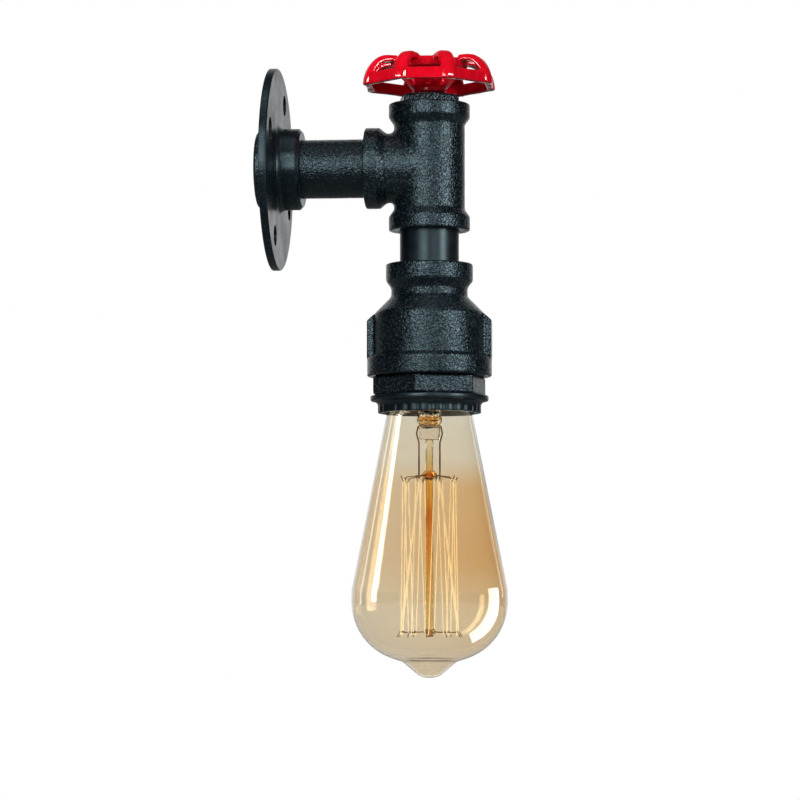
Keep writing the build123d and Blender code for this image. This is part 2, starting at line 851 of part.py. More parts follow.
def make_terminal_block():
    """A three-pole block that fits the arm pipe's bore at the wall end."""
    radius = pipe_bore / 2 - axial_play
    body = rod_along_arm(radius, block_inset, block_length)
    body &= Pos(block_inset + block_length / 2, 0, 0) * Box(block_length, 2 * radius, 2 * block_flat)
    for pole in (-1, 0, 1):
        body -= rod_along_arm(wire_radius + seat_gap, block_inset, block_length, pole * wire_spacing)
        for station in block_stations:
            place = Pos(block_inset + station * block_length, pole * wire_spacing, 0)
            body -= place * upright_rod(block_screw_radius + seat_gap, wire_radius, block_flat)
    return body


def make_block_screws():
    screws = []
    low = wire_radius + 2 * seat_gap
    for pole in (-1, 0, 1):
        for station in block_stations:
            place = Pos(block_inset + station * block_length, pole * wire_spacing, 0)
            screws.append(place * upright_rod(block_screw_radius, low, low + 2 * block_screw_height))
    return Compound(children=screws)


def supply_wire(reach):
    """A wire from the block, round the tee's bend and down into its terminal."""
    return wire_along(
        [
            (block_end - block_wire_depth, reach, 0),
            (arm_reach, reach, 0),
            (arm_reach, reach, core_top + terminal_floor + seat_gap),
        ],
        [wire_bend],
        wire_radius,
    )


def make_live_wire():
    return supply_wire(live_reach)


def make_neutral_wire():
    return supply_wire(neutral_reach)


def make_earth_wire():
    """The earth wire, down the middle and out into its lug's barrel."""
    height = core_top + lug_barrel_radius
    end = arm_reach + core_screw_circle / 2 - lug_radius - lug_stop - seat_gap
    return wire_along(
        [
            (block_end - block_wire_depth, 0, 0),
            (arm_reach, 0, 0),
            (arm_reach, 0, height),
            (end, 0, height),
        ],
        [wire_bend, wire_bend / 2],
        wire_radius,
    )


# ------------------------------------------------------------ bulb cap
cap_wave_start = cap_rim + cap_band_height
cap_wave_end = cap_wave_start + thread_turns * thread_pitch
cap_top = button_top - button_height - insulator_height


def cap_outline(inset):
    """The cap's side from its rim to its top, moved in by the inset."""
    side = cap_radius - inset
    plain = side - cap_wave / 2
    return [
        Polyline((side, cap_rim), (side, cap_wave_start - cap_band_bead), (plain, cap_wave_start)),
        *threaded_outline(side, cap_wave, cap_wave_start),
        Polyline(
            (plain, cap_wave_end),
            (plain, cap_top - cap_shoulder_height),
            (cap_top_radius - inset, cap_top),
        ),
    ]


def cap_body(inset):
    """The cap as a full body, its side moved in by the inset."""
    outline = make_face([
        *cap_outline(inset),
        Polyline((cap_top_radius - inset, cap_top), (0, cap_top), (0, cap_rim)),
        Line((0, cap_rim), (cap_radius - inset, cap_rim)),
    ])
    return revolve(Plane.XZ * outline, Axis.Z)


def make_bulb_cap():
    return lamp_axis * (cap_body(0) - cap_body(cap_wall))


def make_cap_insulator():
    inner = cap_top_radius - cap_wall - seat_gap
    return lamp_axis * turned_upright([
        (insulator_bore_radius, cap_top - insulator_foot, 0),
        (inner, cap_top - insulator_foot, 0),
        (inner, cap_top, 0),
        (cap_top_radius, cap_top, 0),
        (button_radius, cap_top + insulator_height, 0),
        (insulator_bore_radius, cap_top + insulator_height, 0),
    ])


def make_cap_contact():
    low = cap_top + insulator_height
    button = upright_rod(button_radius, low, low + button_height)
    button = fillet(button.edges().group_by(Axis.Z)[-1], button_height / 2)
    return lamp_axis * button


# ------------------------------------------------------------ glass
press_top = cap_rim - stem_end_drop + press_overlap
press_bottom = press_top - press_height


def make_glass_envelope():
    """The hollow envelope: throat, shoulder, cone, dome and drawn tip, open at its neck."""
    neck_top = cap_rim + glass_neck_in_cap
    cone_end = cap_rim - glass_cone_drop
    dome_corner = cone_end - glass_dome_height
    tip_start = dome_corner - glass_base_height
    bottom = tip_start - glass_tip_height
    body = turned_upright([
        (0, neck_top, 0),
        (glass_neck_radius, neck_top, 0),
        (glass_neck_radius, cap_rim, 0),
        (glass_throat_radius, cap_rim - glass_throat_drop, glass_throat_round),
        (glass_shoulder_radius, cap_rim - glass_shoulder_drop, glass_shoulder_round),
        (glass_cone_radius, cone_end, glass_cone_round),
        (glass_dome_radius, dome_corner, glass_dome_round),
        (glass_tip_radius, tip_start, glass_tip_round),
        (glass_end_radius, bottom, glass_end_round),
        (0, bottom, 0),
    ])
    opening = body.faces().sort_by(Axis.Z)[-1]
    return lamp_axis * offset(body, -glass_wall, openings=opening)


def make_stem_glass():
    """The flared stem and its flat press, which holds the rod and the wires."""
    top = cap_rim
    rim = glass_neck_radius - glass_wall - seat_gap
    tube = stem_tube_radius
    flare_end = top - stem_flare_drop
    tube_end = top - stem_end_drop
    body = turned_upright([
        (rim - stem_wall, top, 0),
        (rim, top, 0),
        (tube, flare_end, stem_flare_round),
        (tube, tube_end, stem_end_round),
        (tube - stem_wall, tube_end, 0),
        (tube - stem_wall, flare_end, stem_flare_round),
    ])
    press = Pos(0, 0, press_bottom + press_height / 2) * Box(press_width, press_thickness, press_height)
    press = fillet(press.edges().filter_by(Axis.Z), press_round)
    return lamp_axis * (body + press)


def make_exhaust_tube():
    return lamp_axis * upright_tube(
        exhaust_radius, exhaust_radius - exhaust_wall, press_top + seat_gap, cap_rim + exhaust_above_rim
    )


top_bead_top = cap_rim - top_hook_drop + top_bead_rise
bottom_bead_top = cap_rim - bottom_hook_drop + bottom_bead_rise


def make_centre_rod():
    low = bottom_bead_top - bottom_bead_height - bead_round
    return lamp_axis * upright_rod(rod_radius, low, press_bottom)


def make_rod_beads():
    beads = []
    for high, height in ((top_bead_top, bead_height), (bottom_bead_top, bottom_bead_height)):
        beads.append(lamp_axis * turned_upright([
            (rod_radius + seat_gap, high - height, 0),
            (bead_radius, high - height, bead_round),
            (bead_radius, high, bead_round),
            (rod_radius + seat_gap, high, 0),
        ]))
    return Compound(children=beads)


lead_bottom = cap_rim - top_hook_drop + hook_depth / 2


def make_lead_wires():
    """Two lead-in wires, out round the press and straight down to the cage."""
    tube_end = cap_rim - stem_end_drop
    wires = []
    for side in (-1, 1):
        start = side * (stem_tube_radius - stem_wall / 2)
        out = side * (press_width / 2 + lead_bulge)
        inner = side * lead_offset
        wire = wire_along(
            [
                (start, 0, tube_end - seat_gap),
                (out, 0, tube_end - press_height / 2),
                (inner, 0, press_bottom - lead_bulge),
                (inner, 0, lead_bottom),
            ],
            [lead_bulge, lead_bulge],
            lead_radius,
        )
        wires.append(lamp_axis * wire)
    return Compound(children=wires)


# ------------------------------------------------------------ cage of support wires and filament
bottom_hooks_per_half = top_hooks_per_half + 1
hook_pitch = 180 / bottom_hooks_per_half


def top_hook_angles():
    """Angles of the top hooks: one half in front, one half behind."""
    half = [180 + hook_pitch * (index + 1) for index in range(top_hooks_per_half)]
    return half + [angle - 180 for angle in half]


def bottom_hook_angles():
    half = [180 + hook_pitch * (index + 0.5) for index in range(bottom_hooks_per_half)]
    return half + [angle - 180 for angle in half]


def make_top_supports():
    bend = cap_rim - top_hook_drop
    arm_height = top_bead_top - bead_height / 2
    arm = wire_along(
        [
            (bead_radius + seat_gap, 0, arm_height),
            (cage_radius - hook_reach, 0, bend + hook_rise),
            (cage_radius, 0, bend),
            (cage_radius + hook_reach, 0, bend + hook_depth),
        ],
        [filament_bend, filament_bend],
        support_wire_radius,
    )
    return Compound(children=[lamp_axis * Rot(0, 0, angle) * arm for angle in top_hook_angles()])


def make_bottom_supports():
    bend = cap_rim - bottom_hook_drop
    arm_height = bottom_bead_top - bottom_bead_height / 2
    arm = wire_along(
        [
            (bead_radius + seat_gap, 0, arm_height),
            (cage_radius - hook_reach, 0, arm_height - support_wire_radius),
            (cage_radius, 0, bend),
            (cage_radius + hook_reach, 0, bend - hook_depth),
        ],
        [filament_bend, filament_bend],
        support_wire_radius,
    )
    return Compound(children=[lamp_axis * Rot(0, 0, angle) * arm for angle in bottom_hook_angles()])


def around_cage(angle, sideways, height):
    """A point on the cage, moved sideways along its circle."""
    turn = math.radians(angle) + sideways / cage_radius
    return (cage_radius * math.cos(turn), cage_radius * math.sin(turn), height)


def make_filament():
    """Two halves in parallel, each zigzagging over the hooks from lead to lead."""
    spacing = support_wire_radius + filament_radius + seat_gap
    high = cap_rim - top_hook_drop + 2 * spacing
    low = cap_rim - bottom_hook_drop - 3 * spacing
    width = filament_hook_half_width
    halves = []
    for half in (0, 1):
        tops = top_hook_angles()[half * top_hooks_per_half:][:top_hooks_per_half]
        bottoms = bottom_hook_angles()[half * bottom_hooks_per_half:][:bottom_hooks_per_half]
        first_side = -1 if half == 0 else 1
        start = lead_bottom - lead_radius - spacing
        points = [(first_side * lead_offset, first_side * spacing, start)]
        for index, angle in enumerate(bottoms):
            points.append(around_cage(angle, -width, low))
            points.append(around_cage(angle, width, low))
            if index < len(tops):
                points.append(around_cage(tops[index], -width, high))
                points.append(around_cage(tops[index], width, high))
        points.append((-first_side * lead_offset, first_side * spacing, start))
        radii = [filament_bend] * (len(points) - 2)
        halves.append(lamp_axis * wire_along(points, radii, filament_radius))
    return Compound(children=halves)


# ------------------------------------------------------------ write one file for each piece
pieces = {
    "wall_flange": make_wall_flange,
    "back_nut": make_back_nut,
    "arm_nipple": make_arm_nipple,
    "tee": make_tee,
    "top_plug": make_top_plug,
    "drop_nipple": make_drop_nipple,
    "reducer": make_reducer,
    "hex_adapter": make_hex_adapter,
    "shade_ring": make_shade_ring,
    "holder_shell": make_holder_shell,
    "holder_core": make_holder_core,
    "screw_shell": make_screw_shell,
    "centre_contact": make_centre_contact,
    "contact_rivets": make_contact_rivets,
    "live_terminal": make_live_terminal,
    "neutral_terminal": make_neutral_terminal,
    "terminal_screws": make_terminal_screws,
    "core_screws": make_core_screws,
    "earth_screw": make_earth_screw,
    "earth_lug": make_earth_lug,
    "terminal_block": make_terminal_block,
    "block_screws": make_block_screws,
    "live_wire": make_live_wire,
    "neutral_wire": make_neutral_wire,
    "earth_wire": make_earth_wire,
    "handwheel": make_handwheel,
    "spindle": make_spindle,
    "spindle_clip": make_spindle_clip,
    "wheel_washer": make_wheel_washer,
    "wheel_nut": make_wheel_nut,
    "glass_envelope": make_glass_envelope,
    "bulb_cap": make_bulb_cap,
    "cap_insulator": make_cap_insulator,
    "cap_contact": make_cap_contact,
    "stem_glass": make_stem_glass,
    "exhaust_tube": make_exhaust_tube,
    "centre_rod": make_centre_rod,
    "rod_beads": make_rod_beads,
    "lead_wires": make_lead_wires,
    "top_supports": make_top_supports,
    "bottom_supports": make_bottom_supports,
    "filament": make_filament,
}

os.makedirs("parts", exist_ok=True)
for name, make_piece in pieces.items():
    export_step(make_piece(), f"parts/{name}.step")
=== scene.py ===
import json
import math

import bmesh
import bpy
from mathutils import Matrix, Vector, noise

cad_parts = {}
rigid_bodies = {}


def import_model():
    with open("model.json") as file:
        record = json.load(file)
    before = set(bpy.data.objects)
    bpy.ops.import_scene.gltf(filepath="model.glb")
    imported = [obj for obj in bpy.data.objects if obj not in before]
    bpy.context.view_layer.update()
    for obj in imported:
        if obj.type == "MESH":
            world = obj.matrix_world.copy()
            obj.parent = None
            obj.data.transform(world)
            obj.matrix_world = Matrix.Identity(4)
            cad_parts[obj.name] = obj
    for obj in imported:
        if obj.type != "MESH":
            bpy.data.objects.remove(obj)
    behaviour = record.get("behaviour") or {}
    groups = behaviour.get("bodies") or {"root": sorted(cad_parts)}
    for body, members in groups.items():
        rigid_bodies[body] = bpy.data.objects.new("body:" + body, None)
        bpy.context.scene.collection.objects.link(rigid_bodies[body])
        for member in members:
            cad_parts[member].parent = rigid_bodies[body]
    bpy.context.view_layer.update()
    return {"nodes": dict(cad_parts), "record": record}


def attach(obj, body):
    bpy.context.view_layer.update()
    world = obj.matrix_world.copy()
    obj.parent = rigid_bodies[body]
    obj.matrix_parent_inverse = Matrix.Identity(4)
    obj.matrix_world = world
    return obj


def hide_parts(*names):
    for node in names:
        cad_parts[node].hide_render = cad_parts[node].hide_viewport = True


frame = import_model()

# Industrial pipe wall light: the dressed model over the CAD frame.
# Sizes are written in millimetres and turned into metres by mm.
mm = 0.001

# ------------------------------------------------------------ places
arm_reach = 72.0
lamp_axis = Vector((arm_reach * mm, 0, 0))
wheel_middle = lamp_axis + Vector((0, 0, 40 * mm))
bulb_middle = lamp_axis + Vector((0, 0, -170 * mm))

# ------------------------------------------------------------ shade ring
ring_top = -103.8
ring_bottom = -111.6
ring_bore = 18.85
ring_recess = 20.3
ring_recess_top = -107.9
ring_lip_radius = 26.7
ring_lip_thickness = 2.3
ring_lip_bottom = ring_top - ring_lip_thickness
ring_lip_slope = 0.6          # how far the lip's underside falls towards the skirt
ring_skirt_radius = 23.3
ring_corners = (              # radius, height, rounding
    (ring_bore, ring_top, 0),
    (ring_lip_radius, ring_top, 0.6),
    (ring_lip_radius, ring_lip_bottom, 0.8),
    (ring_skirt_radius, ring_lip_bottom - ring_lip_slope, 2.2),
    (ring_skirt_radius, ring_bottom, 0.35),
    (ring_recess, ring_bottom, 0.3),
    (ring_recess, ring_recess_top, 0),
    (ring_bore, ring_recess_top, 0),
)
ring_row_spacing = 0.6
flute_count = 26
flute_depth = 0.8
flute_start = 0.9             # below the lip
flute_fade = 1.6              # height over which a flute comes to its full depth
flute_sharpness = 0.45        # below 1 the ribs are broad and the grooves narrow
flute_wall = 1.2              # skin nearer than this to the recess isn't pressed in
points_per_flute = 14

# ------------------------------------------------------------ bulb
cap_rim = -99.3
glass_wall = 0.9
glass_neck_radius = 12.6
glass_neck_rise = 2.6
glass_corners = (             # radius, drop below the cap's rim, rounding
    (13.4, 3.2, 3.0),
    (19.2, 11.6, 8.0),
    (35.1, 91.9, 11.3),
    (35.95, 116.5, 27.0),
    (12.2, 124.2, 1.5),
    (3.7, 131.3, 7.0),
)
glass_length = 131.3
glass_segments = 144
least_inner_radius = 0.05     # nearer to the axis than this, the inside is closed by its pole

stem_outside_corners = (      # radius, height, rounding
    (11.6, cap_rim, 0),
    (5.5, -108.3, 3.0),
    (5.2, -112.6, 1.5),
    (5.9, -115.1, 0.8),
    (4.4, -117.6, 0.6),
    (2.6, -117.9, 0),
)
stem_inside_corners = (       # radius, height, rounding
    (2.6, -116.9, 0),
    (3.8, -116.6, 0.5),
    (4.7, -115.1, 0.6),
    (4.3, -112.6, 1.5),
    (4.6, -108.3, 3.0),
    (10.7, cap_rim, 0),
)
stem_segments = 72
press_width = 9.6
press_thickness = 4.0
press_top = -117.3
press_bottom = -123.7
press_pinch = 0.3             # share of the thickness lost in the middle
press_end_pinch = 0.35        # share of the thickness lost at the lower end
press_end_narrowing = 0.12    # share of the width lost at the lower end
press_thin_from = 0.85        # share of the height where the thinning starts
press_narrow_from = 0.8       # share of the height where the narrowing starts
press_square_across = 0.6     # below 1 the oval comes nearer to a bar
press_square_deep = 0.8
press_lump = 0.28
press_lump_size = 1.8
press_rows = 18
press_segments = 40

rod_radius = 1.72
rod_top = -123.75
rod_bottom = -212.4
rod_edge = 0.3
rod_rows = 24
bead_waist = rod_radius + 0.05
bead_top_step = 0.35
bead_bottom_step = 0.6
bead_girdle_share = 0.42      # how far down a bead its widest part is
rod_segments = 48             # round the rod and its beads
finer_hooks = -0.09
finer_filament = -0.1

# ------------------------------------------------------------ camera and floor
camera_target = Vector((0.0586, 0.0, -0.1055))
camera_azimuth = math.radians(5.9)
camera_elevation = math.radians(-3.9)
camera_distance = 1.555
camera_lens = 154.8
camera_sensor = 36.0
outward = Vector((
    math.sin(camera_azimuth) * math.cos(camera_elevation),
    -math.cos(camera_azimuth) * math.cos(camera_elevation),
    math.sin(camera_elevation),
))
floor_height = -0.6
floor_reach = 6.0
floor_glow = 0.92

scene = bpy.context.scene
nodes = frame["nodes"]
body_of_node = {
    node: body
    for body, members in frame["record"]["behaviour"]["bodies"].items()
    for node in members
}


# ------------------------------------------------------------ shader helpers
noise_low, noise_high = 0.3, 0.7      # the span that a noise fills nearly all of
blue_reflection_tint = (0.62, 0.9, 1.0, 1.0)   # painted reflection colour: tints the paint's reflections blue, standing in for bluish light round the object


def add_node(tree, kind, inputs=None, **settings):
    """One node, with its settings and with its inputs set or linked by name."""
    made = tree.nodes.new(kind)
    for key, value in settings.items():
        setattr(made, key, value)
    for socket, value in (inputs or {}).items():
        if isinstance(value, bpy.types.NodeSocket):
            tree.links.new(value, made.inputs[socket])
        else:
            made.inputs[socket].default_value = value
    return made


def maths(tree, operation, *values):
    """One sum on numbers or sockets."""
    inputs = dict(enumerate(values))
    return add_node(tree, "ShaderNodeMath", inputs, operation=operation).outputs[0]


def new_material(name):
    """A material with its shader and its object coordinates."""
    material = bpy.data.materials.new(name)
    material.use_nodes = True
    tree = material.node_tree
    shader = tree.nodes["Principled BSDF"]
    place = add_node(tree, "ShaderNodeTexCoord").outputs["Object"]
    return material, tree, shader, place


def mottle(tree, place, size, detail=3.0, distortion=0.0):
    """Noise between 0 and 1 with lumps of about that size in millimetres."""
    made = add_node(tree, "ShaderNodeTexNoise", {
        "Vector": place,
        "Scale": 1 / (size * mm),
        "Detail": detail,
        "Distortion": distortion,
    })
    return made.outputs["Fac"]


def ramp(tree, factor, stops):
    """A smooth colour ramp from (position, colour) stops."""
    made = add_node(tree, "ShaderNodeValToRGB", {"Fac": factor})
    band = made.color_ramp
    band.interpolation = "EASE"
    while len(band.elements) < len(stops):
        band.elements.new(0.5)
    for element, (position, colour) in zip(band.elements, stops):
        element.position = position
        element.color = (*colour, 1.0)
    return made.outputs["Color"]


def two_tone(tree, factor, dark, pale):
    """A noise as a change between two colours."""
    return ramp(tree, factor, [(noise_low, dark), (noise_high, pale)])


def scaled(tree, factor, low, high, start, end):
    """The factor's span from start to end, mapped to low and high."""
    made = add_node(tree, "ShaderNodeMapRange", {
        "Value": factor,
        "From Min": start,
        "From Max": end,
        "To Min": low,
        "To Max": high,
    })
    return made.outputs["Result"]


def varied(tree, factor, middle, less, more):
    """A noise as a change of a value, from less below its middle to more above it."""
    return scaled(tree, factor, middle - less, middle + more, noise_low, noise_high)


def bumped(tree, height, depth, strength=1.0, over=None):
    """A bump of that depth in millimetres, on top of another one."""
    inputs = {"Height": height, "Distance": depth * mm, "Strength": strength}
    if over is not None:
        inputs["Normal"] = over
    return add_node(tree, "ShaderNodeBump", inputs).outputs["Normal"]


def connect(tree, shader, links):
    """Links sockets to the shader's inputs by name."""
    for socket, source in links.items():
        tree.links.new(source, shader.inputs[socket])


def set_inputs(shader, values):
    """Sets the shader's own inputs by name."""
    for socket, value in values.items():
        shader.inputs[socket].default_value = value


# ------------------------------------------------------------ materials
def cast_black(name, lump, depth, dark, pale, roughness, specular):
    """Black paint over a sand-cast skin: grains and finer pits, with the grains' tops painted
    paler as painted glints.
    """
    pit_size, pit_depth, patch_size = 0.5, 0.22, 9
    grain_foot, grain_top = 0.5, 0.66
    material, tree, shader, place = new_material(name)
    grains = mottle(tree, place, size=lump, detail=1.0, distortion=0.4)
    pits = mottle(tree, place, size=lump * pit_size, detail=0.0)
    patches = mottle(tree, place, size=lump * patch_size)
    tops = scaled(tree, grains, 0, 1, grain_foot, grain_top)
    # painted glints: the grains' tops are painted paler, standing in for highlights caught on the
    # grains
    colour = ramp(tree, tops, [(0.0, dark), (1.0, pale)])
    normal = bumped(tree, grains, depth=depth)
    normal = bumped(tree, pits, depth=depth * pit_depth, over=normal)
    rough = varied(tree, patches, roughness, less=0.05, more=0.08)
    connect(tree, shader, {"Base Color": colour, "Normal": normal, "Roughness": rough})
    set_inputs(shader, {"Specular IOR Level": specular, "Specular Tint": blue_reflection_tint})
    return material


def smooth_black(name, dark, pale, roughness, specular):
    """Satin black paint on smooth metal: cloudy patches and a fine grain."""
    material, tree, shader, place = new_material(name)
    grain = mottle(tree, place, size=0.5)
    patches = mottle(tree, place, size=7.0, detail=4.0)
    colour = ramp(tree, patches, [(0.35, dark), (noise_high, pale)])
    normal = bumped(tree, grain, depth=0.03, strength=0.5)
    rough = varied(tree, patches, roughness, less=0.04, more=0.06)
    connect(tree, shader, {"Base Color": colour, "Normal": normal, "Roughness": rough})
    set_inputs(shader, {"Specular IOR Level": specular, "Specular Tint": blue_reflection_tint})
    return material


def glossy_red():
    """Thick glossy red enamel: a soft orange peel and a little grit from the casting."""
    material, tree, shader, place = new_material("wheel_enamel")
    peel = mottle(tree, place, size=4.0, detail=2.0)
    grit = mottle(tree, place, size=1.1, detail=2.0)
    colour = two_tone(tree, peel, dark=(0.7, 0.001, 0.01), pale=(0.86, 0.003, 0.02))
    normal = bumped(tree, peel, depth=0.14)
    normal = bumped(tree, grit, depth=0.03, over=normal)
    rough = varied(tree, grit, 0.12, less=0.04, more=0.04)
    connect(tree, shader, {"Base Color": colour, "Normal": normal, "Roughness": rough})
    set_inputs(shader, {"Specular IOR Level": 0.45})
    return material


def plain_metal(name, dark, pale, roughness, stretch=(1, 1, 1)):
    """Turned or rolled metal with fine tool marks."""
    material, tree, shader, place = new_material(name)
    mapping = add_node(tree, "ShaderNodeMapping", {"Vector": place, "Scale": stretch})
    marks = mottle(tree, mapping.outputs["Vector"], size=0.4, detail=2.0)
    patches = mottle(tree, place, size=4.0)
    colour = two_tone(tree, patches, dark, pale)
    rough = varied(tree, marks, roughness, less=0.08, more=0.08)
    normal = bumped(tree, marks, depth=0.02, strength=0.4)
    connect(tree, shader, {"Base Color": colour, "Normal": normal, "Roughness": rough})
    set_inputs(shader, {"Metallic": 1.0})
    return material


def moulded(name, dark, pale, roughness, grain=0.6, coat=0.0):
    """Plastic, glazed ceramic or dull wire with slight cloudiness."""
    material, tree, shader, place = new_material(name)
    clouds = mottle(tree, place, size=5.0)
    fine = mottle(tree, place, size=grain, detail=2.0)
    colour = two_tone(tree, clouds, dark, pale)
    rough = varied(tree, fine, roughness, less=0.05, more=0.05)
    normal = bumped(tree, fine, depth=0.02, strength=0.4)
    connect(tree, shader, {"Base Color": colour, "Normal": normal, "Roughness": rough})
    set_inputs(shader, {"Coat Weight": coat})
    return material


def striped_sleeve():
    """Green wire sleeve with a yellow stripe that winds along it."""
    green, yellow = (0.08, 0.3, 0.03), (0.75, 0.6, 0.03)
    material, tree, shader, place = new_material("earth_sleeve")
    stripes = add_node(
        tree, "ShaderNodeTexWave", {"Vector": place, "Scale": 60.0, "Distortion": 0.4},
        wave_type="BANDS", bands_direction="DIAGONAL",
    ).outputs["Fac"]
    colour = ramp(tree, stripes, [(0.52, green), (0.6, yellow)])
    fine = mottle(tree, place, size=0.5, detail=2.0)
    normal = bumped(tree, fine, depth=0.02, strength=0.4)
    connect(tree, shader, {"Base Color": colour, "Normal": normal})
    set_inputs(shader, {"Roughness": 0.45})
    return material


def tinted_glass(name, stops, roughness=0.0, waviness=0.0, ripple=14.0, reflection_side=None):
    """Clear glass whose tint goes through the stops, from the lowest height to the highest.

    The tint given for the wall side takes over towards the wall; it is a painted reflection, paler
    than the glass's own tint.
    """
    reflection_most, reflection_from, reflection_to = 0.68, arm_reach - 26, arm_reach + 24
    material, tree, shader, place = new_material(name)
    parts = add_node(tree, "ShaderNodeSeparateXYZ", {"Vector": place}).outputs
    low, high = stops[0][0], stops[-1][0]
    along = scaled(tree, parts["Z"], 0, 1, low * mm, high * mm)
    colour = ramp(tree, along, [((z - low) / (high - low), tint) for z, tint in stops])
    if reflection_side:
        # painted reflection: the glass turns towards the paler wall-side tint
        share = scaled(tree, parts["X"], reflection_most, 0.0, reflection_from * mm, reflection_to * mm)
        inputs = {0: share, 6: colour, 7: (*reflection_side, 1.0)}
        colour = add_node(tree, "ShaderNodeMix", inputs, data_type="RGBA").outputs[2]
    connect(tree, shader, {"Base Color": colour})
    if waviness:
        waves = mottle(tree, place, size=ripple, detail=1.0)
        connect(tree, shader, {"Normal": bumped(tree, waves, depth=waviness)})
    set_inputs(shader, {"Transmission Weight": 1.0, "Roughness": roughness, "IOR": 1.45})
    return material


def glowing_filament():
    """Pale yellow wire whose tone changes a little along its windings."""
    material, tree, shader, place = new_material("filament_wire")
    windings = mottle(tree, place, size=0.8, detail=2.0)
    colour = two_tone(tree, windings, dark=(1.0, 0.84, 0.56), pale=(1.0, 0.94, 0.72))
    connect(tree, shader, {"Base Color": colour, "Emission Color": colour})
    set_inputs(shader, {"Emission Strength": 0.85, "Roughness": 0.5})
    return material


# In these cast finishes the pale colour is the painted glint on the grains' tops.
iron_black = cast_black(
    "cast_iron_black", lump=0.95, depth=0.29, roughness=0.17, specular=1.0,
    dark=(0.002, 0.004, 0.006), pale=(0.03, 0.048, 0.06),
)
coarse_black = cast_black(
    "coarse_iron_black", lump=1.0, depth=0.32, roughness=0.22, specular=1.0,
    dark=(0.005, 0.008, 0.013), pale=(0.06, 0.075, 0.1),
)
flange_black = cast_black(
    "flange_black", lump=1.4, depth=0.06, roughness=0.27, specular=0.75,
    dark=(0.004, 0.008, 0.012), pale=(0.012, 0.022, 0.03),
)
arm_black = cast_black(
    "arm_pipe_black", lump=0.9, depth=0.34, roughness=0.13, specular=1.0,
    dark=(0.001, 0.002, 0.004), pale=(0.008, 0.013, 0.02),
)
drop_black = smooth_black(
    "drop_pipe_black", roughness=0.36, specular=1.0,
    dark=(0.004, 0.006, 0.008), pale=(0.01, 0.014, 0.018),
)
ring_black = smooth_black(
    "ring_black", roughness=0.3, specular=1.0,
    dark=(0.005, 0.008, 0.011), pale=(0.01, 0.015, 0.02),
)
shell_black = smooth_black(
    "shell_black", roughness=0.4, specular=0.5,
    dark=(0.008, 0.01, 0.012), pale=(0.014, 0.017, 0.02),
)
wheel_enamel = glossy_red()

# name, dark, pale, roughness, then stretch for metals, or grain and coat
bright_steel = plain_metal("bright_steel", (0.42, 0.42, 0.43), (0.58, 0.58, 0.6), 0.3, (1, 1, 6))
zinc_plate = plain_metal("zinc_plate", (0.55, 0.56, 0.58), (0.72, 0.72, 0.72), 0.35)
rolled_brass = plain_metal("rolled_brass", (0.62, 0.42, 0.14), (0.83, 0.62, 0.27), 0.28, (1, 1, 5))
soft_solder = plain_metal("soft_solder", (0.4, 0.4, 0.4), (0.6, 0.6, 0.6), 0.4)
drawn_wire = moulded("drawn_wire", (0.2, 0.08, 0.03), (0.42, 0.2, 0.08), 0.4)
porcelain = moulded("porcelain", (0.78, 0.75, 0.68), (0.88, 0.86, 0.81), 0.25, 0.8, 0.6)
white_plastic = moulded("white_plastic", (0.7, 0.69, 0.66), (0.82, 0.81, 0.78), 0.5)
black_glaze = moulded("black_glaze", (0.01, 0.01, 0.012), (0.03, 0.025, 0.03), 0.18, 0.8, 0.5)
brown_sleeve = moulded("brown_sleeve", (0.10, 0.035, 0.012), (0.16, 0.06, 0.02), 0.45)
blue_sleeve = moulded("blue_sleeve", (0.01, 0.05, 0.28), (0.02, 0.09, 0.42), 0.45)
earth_sleeve = striped_sleeve()

# glass: height in millimetres and tint
# The amber glass is pale at the bottom, deepest amber in the middle and paler again at the top;
# the paler top and the paler wall side are painted reflection.
amber_glass = tinted_glass(
    "amber_glass",
    [
        (-232.0, (0.80, 0.71, 0.57)),
        (-206.0, (0.82, 0.71, 0.54)),
        (-175.0, (0.79, 0.60, 0.37)),
        (-148.0, (0.80, 0.62, 0.40)),
        (-130.0, (0.82, 0.77, 0.66)),
        (-96.0, (0.83, 0.81, 0.75)),
    ],
    reflection_side=(0.82, 0.77, 0.66),
)
stem_clear = tinted_glass(
    "stem_clear",
    [
        (-125.0, (0.97, 0.92, 0.84)),
        (-95.0, (0.98, 0.95, 0.9)),
    ],
)
stem_fused = tinted_glass(
    "stem_fused",
    [
        (-125.0, (0.93, 0.88, 0.8)),
        (-118.4, (0.95, 0.88, 0.78)),
        (-117.4, (0.6, 0.32, 0.1)),
        (-116.4, (0.92, 0.74, 0.46)),
        (-115.0, (0.9, 0.68, 0.38)),
        (-114.0, (0.8, 0.54, 0.24)),
        (-113.0, (0.97, 0.93, 0.86)),
        (-95.0, (0.98, 0.95, 0.9)),
    ],
    roughness=0.04, waviness=0.5, ripple=2.2,
)
# The rod is clear glass; its amber tint, deepest in the middle and pale at the ends, is painted
# light standing in for the glow and the amber glass seen through it.
rod_glass = tinted_glass(
    "rod_glass",
    [
        (-213.0, (0.95, 0.76, 0.34)),
        (-188.0, (0.94, 0.64, 0.22)),
        (-170.0, (0.88, 0.48, 0.12)),
        (-158.0, (0.76, 0.3, 0.05)),
        (-148.0, (0.92, 0.56, 0.14)),
        (-140.0, (0.95, 0.66, 0.22)),
        (-133.0, (0.96, 0.76, 0.42)),
        (-127.0, (0.97, 0.88, 0.66)),
        (-121.0, (0.98, 0.92, 0.76)),
    ],
)
bead_glass = tinted_glass(
    "bead_glass",
    [
        (-213.0, (0.9, 0.66, 0.28)),
        (-131.0, (0.9, 0.55, 0.2)),
    ],
)
filament_wire = glowing_filament()

